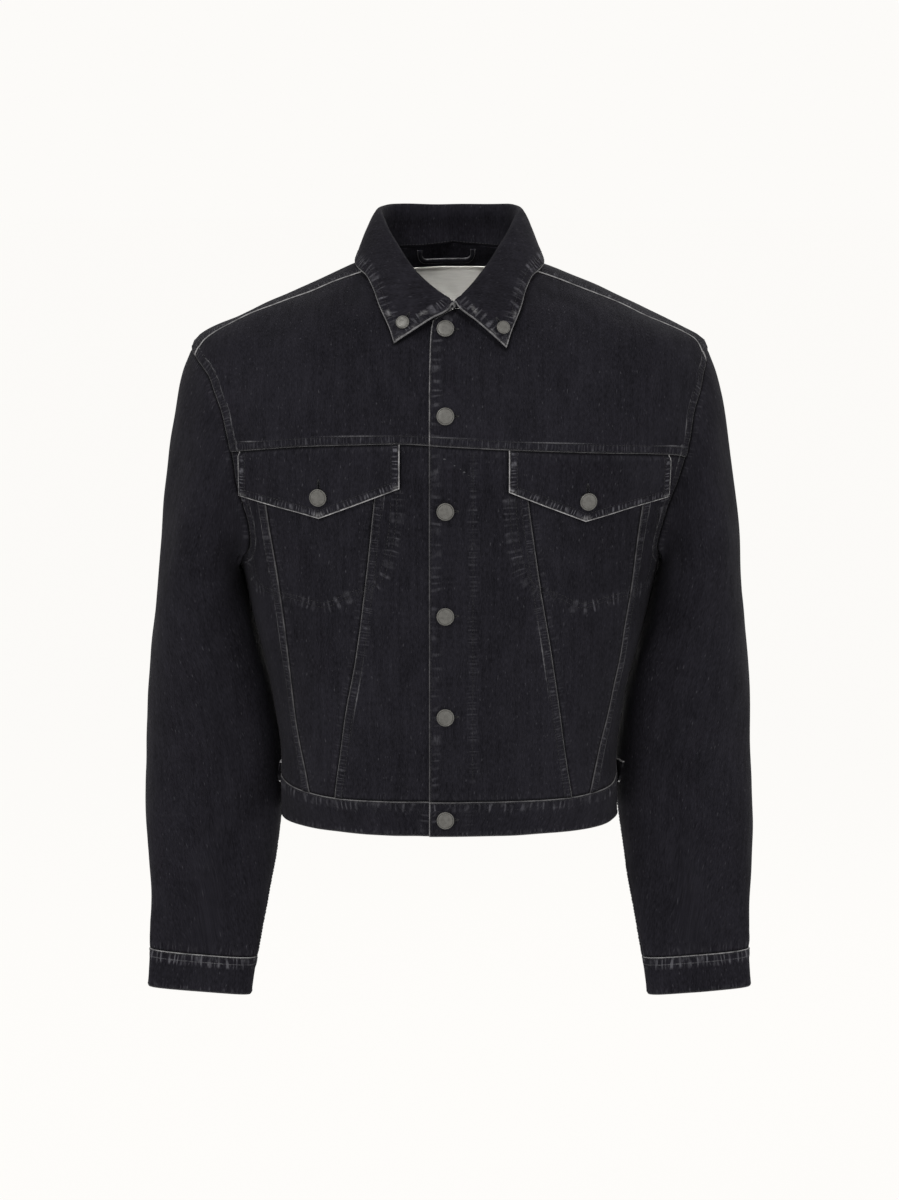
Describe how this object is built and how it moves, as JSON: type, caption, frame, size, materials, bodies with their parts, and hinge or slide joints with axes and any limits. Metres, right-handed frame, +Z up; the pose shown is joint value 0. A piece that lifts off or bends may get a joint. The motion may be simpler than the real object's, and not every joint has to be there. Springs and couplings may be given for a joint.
{
  "type": "denim jacket",
  "caption": "Cropped denim jacket, buttoned and filled out with no wearer: hollow body and sleeves, turned-down collar, pointed chest flaps, slanted front seams and a waistband",
  "frame": {"origin": "the middle of the neck opening, level with the shoulder line where the collar meets it: where the wearer's shoulders or a hanger hold the jacket up", "axes": "+Z up, the front faces -Y, +X is the wearer's left"},
  "size_m": [0.6257, 0.2588, 0.8041],
  "materials": {
    "denim": "washed black cotton twill, matte",
    "button": "worn pewter grey, satin",
    "label": "plain woven tape, matte"
  },
  "bodies": {
    "root": {"front_yoke_right": "denim", "front_yoke_left": "denim", "front_centre_right": "denim", "front_centre_left": "denim", "front_panel_right": "denim", "front_panel_left": "denim", "front_side_right": "denim", "front_side_left": "denim", "back_yoke": "denim", "back_centre": "denim", "back_side_right": "denim", "back_side_left": "denim", "collar": "denim", "waistband": "denim", "upper_sleeve_right": "denim", "under_sleeve_right": "denim", "upper_sleeve_left": "denim", "under_sleeve_left": "denim", "cuff_right": "denim", "cuff_left": "denim", "pocket_flap_right": "denim", "pocket_flap_left": "denim", "waist_tab_right": "denim", "waist_tab_left": "denim", "hanger_loop": "denim", "neck_label": "label", "front_button_1": "button", "front_button_2": "button", "front_button_3": "button", "front_button_4": "button", "front_button_5": "button", "front_button_6": "button", "collar_button_right": "button", "collar_button_left": "button", "flap_button_right": "button", "flap_button_left": "button", "cuff_button_right": "button", "cuff_button_left": "button", "waist_tab_button_right": "button", "waist_tab_button_left": "button"}
  },
  "joints": []
}
